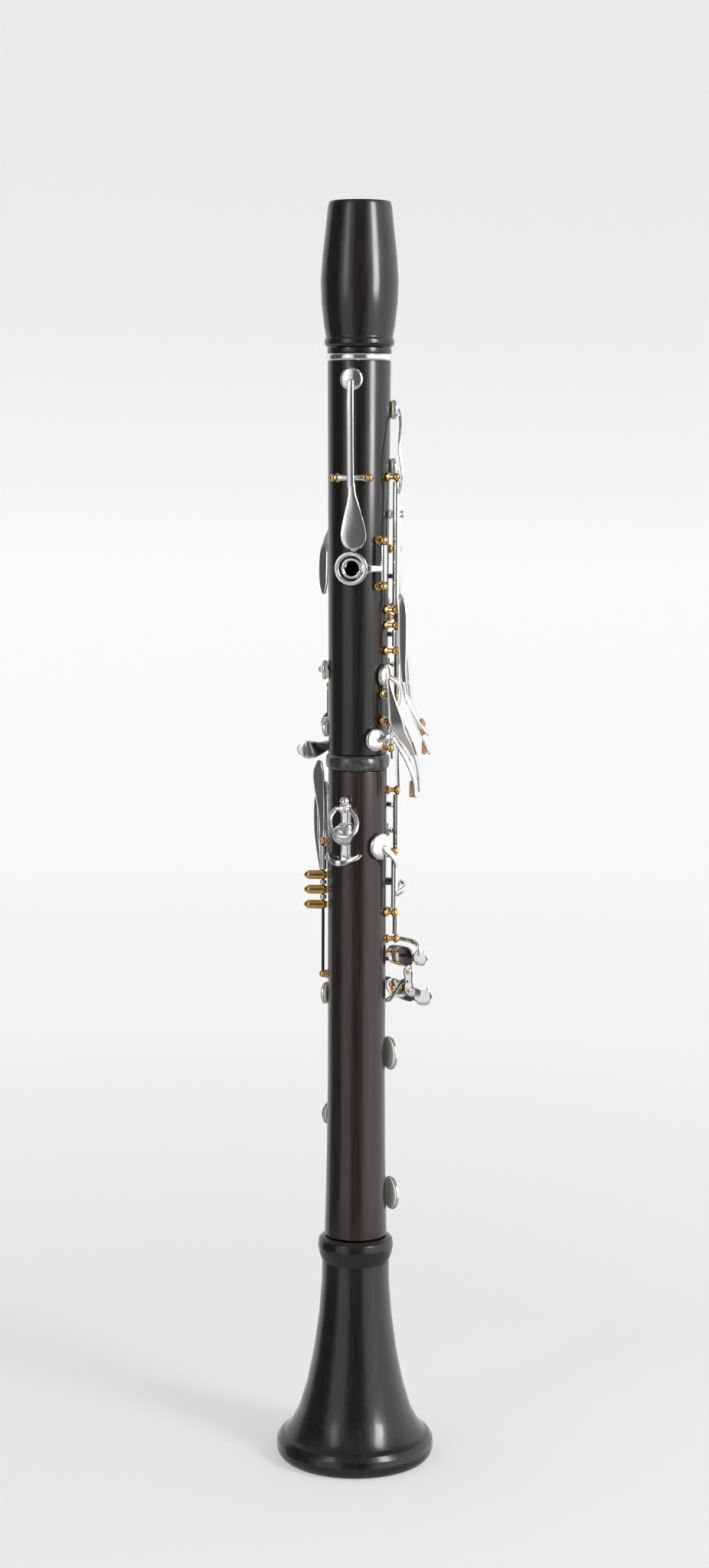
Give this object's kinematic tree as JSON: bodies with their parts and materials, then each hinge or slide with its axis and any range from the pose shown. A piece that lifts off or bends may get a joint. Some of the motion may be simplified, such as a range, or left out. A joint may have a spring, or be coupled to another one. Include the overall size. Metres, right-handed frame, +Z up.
{
  "type": "clarinet",
  "caption": "Wooden Boehm clarinet without mouthpiece, standing on its bell, with silver keys on gold posts and an adjustable thumb rest.",
  "frame": {"origin": "centre of the bell's rim, on the surface the instrument stands on", "axes": "+Z up the bore towards the barrel; -Y out of the thumb side; +X to the player's right"},
  "size_m": [0.075, 0.0738, 0.589],
  "materials": {
    "grenadilla": "satin polished, near black",
    "silver_plate": "polished silver plate",
    "gold_plate": "polished gold plate",
    "collar_horn": "polished, mottled grey",
    "cork": "greased cork",
    "pad_skin": "matt skin"
  },
  "bodies": {
    "instrument_body": {"barrel": "grenadilla", "upper_joint": "grenadilla", "upper_joint_ring": "silver_plate", "thumb_hole_tube": "silver_plate", "upper_tenon_cork": "cork", "middle_tenon_cork": "cork", "lower_joint": "grenadilla", "collar_ring": "collar_horn", "bell_tenon_cork": "cork", "bell": "grenadilla", "register_axle": "gold_plate", "thumb_axle": "gold_plate", "upper_ring_axle": "gold_plate", "throat_a_axle": "gold_plate", "throat_gs_axle": "gold_plate", "side_axle": "gold_plate", "low_side_axle": "gold_plate", "trill_guide_post": "silver_plate", "cs_gs_axle": "gold_plate", "sliver_axle": "gold_plate", "left_lever_axle": "gold_plate", "lower_ring_axle": "gold_plate", "b_sliver_axle": "gold_plate", "f_c_axle": "gold_plate", "e_b_axle": "gold_plate", "fs_cs_axle": "gold_plate", "gs_ds_axle": "gold_plate", "thumb_rest_base": "silver_plate"},
    "register_key": {"register_key": "silver_plate", "register_pad": "pad_skin"},
    "thumb_ring_key": {"thumb_ring_key": "silver_plate"},
    "first_ring_key": {"first_ring_key": "silver_plate"},
    "second_ring_key": {"second_ring_key": "silver_plate"},
    "throat_a_key": {"throat_a_key": "silver_plate"},
    "throat_gs_key": {"throat_gs_key": "silver_plate"},
    "side_key_1": {"side_key_1": "silver_plate", "side_key_1_pad": "pad_skin"},
    "side_key_2": {"side_key_2": "silver_plate", "side_key_2_pad": "pad_skin"},
    "trill_key_1": {"trill_key_1": "silver_plate", "trill_key_1_pad": "pad_skin"},
    "trill_key_2": {"trill_key_2": "silver_plate", "trill_key_2_pad": "pad_skin"},
    "cs_gs_key": {"cs_gs_key": "silver_plate"},
    "sliver_key": {"sliver_key": "silver_plate"},
    "lower_ring_key": {"lower_ring_key": "silver_plate"},
    "b_sliver_key": {"b_sliver_key": "silver_plate", "b_sliver_pad": "pad_skin"},
    "f_c_key": {"f_c_key": "silver_plate", "f_c_pad": "pad_skin"},
    "e_b_key": {"e_b_key": "silver_plate", "e_b_pad": "pad_skin"},
    "fs_cs_key": {"fs_cs_key": "silver_plate"},
    "gs_ds_key": {"gs_ds_key": "silver_plate"},
    "left_lever_e": {"left_lever_e": "silver_plate"},
    "left_lever_fs": {"left_lever_fs": "silver_plate"},
    "left_lever_f": {"left_lever_f": "silver_plate"},
    "thumb_rest_hook": {"thumb_rest_hook": "silver_plate"},
    "thumb_rest_screw": {"thumb_rest_screw": "silver_plate"},
    "strap_ring": {"strap_ring": "silver_plate"}
  },
  "joints": [
    {"name": "register_key_pivot", "type": "hinge", "parent": "instrument_body", "child": "register_key", "pos_m": [0.00086, -0.01638, 0.4646], "axis": [0.9986, 0.0523, 0], "range_deg": [0, 5], "stiffness_Nm_per_rad": 0.02, "springref_deg": -17.19},
    {"name": "thumb_ring_key_pivot", "type": "hinge", "parent": "instrument_body", "child": "thumb_ring_key", "pos_m": [0.01477, -0.01113, 0.4236], "axis": [0, 0, -1], "range_deg": [0, 4], "stiffness_Nm_per_rad": 0.02, "springref_deg": -17.19},
    {"name": "first_ring_key_pivot", "type": "hinge", "parent": "instrument_body", "child": "first_ring_key", "pos_m": [0.01686, 0.00786, 0.419], "axis": [0, 0, 1], "range_deg": [0, 4], "stiffness_Nm_per_rad": 0.02, "springref_deg": -17.19},
    {"name": "second_ring_key_pivot", "type": "hinge", "parent": "instrument_body", "child": "second_ring_key", "pos_m": [0.01686, 0.00786, 0.392], "axis": [0, 0, 1], "range_deg": [0, 4], "stiffness_Nm_per_rad": 0.02, "springref_deg": -17.19},
    {"name": "throat_a_key_pivot", "type": "hinge", "parent": "instrument_body", "child": "throat_a_key", "pos_m": [0.0006, 0.01719, 0.452], "axis": [-0.9994, 0.0349, 0], "range_deg": [0, 5], "stiffness_Nm_per_rad": 0.02, "springref_deg": -17.19},
    {"name": "throat_gs_key_pivot", "type": "hinge", "parent": "instrument_body", "child": "throat_gs_key", "pos_m": [-0.01466, 0.01027, 0.455], "axis": [0, 0, 1], "range_deg": [0, 8], "stiffness_Nm_per_rad": 0.02, "springref_deg": -17.19},
    {"name": "side_key_1_pivot", "type": "hinge", "parent": "instrument_body", "child": "side_key_1", "pos_m": [0.01762, -0.00712, 0.3448], "axis": [0, 0, 1], "range_deg": [0, 9], "stiffness_Nm_per_rad": 0.02, "springref_deg": -17.19},
    {"name": "side_key_2_pivot", "type": "hinge", "parent": "instrument_body", "child": "side_key_2", "pos_m": [0.01762, -0.00712, 0.3739], "axis": [0, 0, -1], "range_deg": [0, 9], "stiffness_Nm_per_rad": 0.02, "springref_deg": -17.19},
    {"name": "trill_key_1_pivot", "type": "hinge", "parent": "instrument_body", "child": "trill_key_1", "pos_m": [0.01871, -0.0033, 0.4691], "axis": [0, 0, -1], "range_deg": [0, 9], "stiffness_Nm_per_rad": 0.02, "springref_deg": -17.19},
    {"name": "trill_key_2_pivot", "type": "hinge", "parent": "instrument_body", "child": "trill_key_2", "pos_m": [0.01871, -0.0033, 0.4956], "axis": [0, 0, -1], "range_deg": [0, 9], "stiffness_Nm_per_rad": 0.02, "springref_deg": -17.19},
    {"name": "cs_gs_key_pivot", "type": "hinge", "parent": "instrument_body", "child": "cs_gs_key", "pos_m": [-0.01157, 0.01379, 0.36], "axis": [0, 0, -1], "range_deg": [0, 6], "stiffness_Nm_per_rad": 0.02, "springref_deg": -17.19},
    {"name": "sliver_key_pivot", "type": "hinge", "parent": "instrument_body", "child": "sliver_key", "pos_m": [-0.01572, 0.00836, 0.355], "axis": [0, 0, -1], "range_deg": [0, 8], "stiffness_Nm_per_rad": 0.02, "springref_deg": -17.19},
    {"name": "lower_ring_key_pivot", "type": "hinge", "parent": "instrument_body", "child": "lower_ring_key", "pos_m": [0.01706, 0.00689, 0.288], "axis": [0, 0, 1], "range_deg": [0, 4], "stiffness_Nm_per_rad": 0.02, "springref_deg": -17.19},
    {"name": "b_sliver_key_pivot", "type": "hinge", "parent": "instrument_body", "child": "b_sliver_key", "pos_m": [0.0182, -0.00032, 0.295], "axis": [0, 0, 1], "range_deg": [0, 8], "stiffness_Nm_per_rad": 0.02, "springref_deg": -17.19},
    {"name": "f_c_key_pivot", "type": "hinge", "parent": "instrument_body", "child": "f_c_key", "pos_m": [0.00752, 0.01613, 0.1943], "axis": [0, 0, -1], "range_deg": [0, 6], "stiffness_Nm_per_rad": 0.02, "springref_deg": -17.19},
    {"name": "e_b_key_pivot", "type": "hinge", "parent": "instrument_body", "child": "e_b_key", "pos_m": [0.00155, 0.01773, 0.1263], "axis": [0, 0, -1], "range_deg": [0, 6], "stiffness_Nm_per_rad": 0.02, "springref_deg": -17.19},
    {"name": "fs_cs_key_pivot", "type": "hinge", "parent": "instrument_body", "child": "fs_cs_key", "pos_m": [-0.00461, 0.01719, 0.1643], "axis": [0, 0, -1], "range_deg": [0, 6], "stiffness_Nm_per_rad": 0.02, "springref_deg": -17.19},
    {"name": "gs_ds_key_pivot", "type": "hinge", "parent": "instrument_body", "child": "gs_ds_key", "pos_m": [-0.01259, 0.01259, 0.2232], "axis": [0, 0, -1], "range_deg": [0, 6], "stiffness_Nm_per_rad": 0.02, "springref_deg": -17.19},
    {"name": "left_lever_e_pivot", "type": "hinge", "parent": "instrument_body", "child": "left_lever_e", "pos_m": [-0.01555, -0.00331, 0.288], "axis": [0, 0, 1], "range_deg": [0, 5], "stiffness_Nm_per_rad": 0.02, "springref_deg": -17.19},
    {"name": "left_lever_fs_pivot", "type": "hinge", "parent": "instrument_body", "child": "left_lever_fs", "pos_m": [-0.01555, -0.00331, 0.2766], "axis": [0, 0, 1], "range_deg": [0, 5], "stiffness_Nm_per_rad": 0.02, "springref_deg": -17.19},
    {"name": "left_lever_f_pivot", "type": "hinge", "parent": "instrument_body", "child": "left_lever_f", "pos_m": [-0.01555, -0.00331, 0.2696], "axis": [0, 0, 1], "range_deg": [0, 5], "stiffness_Nm_per_rad": 0.02, "springref_deg": -17.19},
    {"name": "thumb_rest_height", "type": "slide", "parent": "instrument_body", "child": "thumb_rest_hook", "axis": [0, 0, 1], "range_m": [-0.002, 0.005]},
    {"name": "thumb_rest_clamp", "type": "hinge", "parent": "instrument_body", "child": "thumb_rest_screw", "pos_m": [-0.00174, -0.01992, 0.3015], "axis": [-0.0872, -0.9962, 0], "range_deg": [-180, 180]},
    {"name": "strap_ring_swing", "type": "hinge", "parent": "thumb_rest_hook", "child": "strap_ring", "pos_m": [-0.00168, -0.01923, 0.3136], "axis": [-0.9962, 0.0872, 0], "range_deg": [0, 75]}
  ],
  "couplings": [
    {"joint": "left_lever_e_pivot", "follows": "e_b_key_pivot", "ratio": 0.8},
    {"joint": "left_lever_fs_pivot", "follows": "fs_cs_key_pivot", "ratio": 0.8},
    {"joint": "left_lever_f_pivot", "follows": "f_c_key_pivot", "ratio": 0.8}
  ]
}
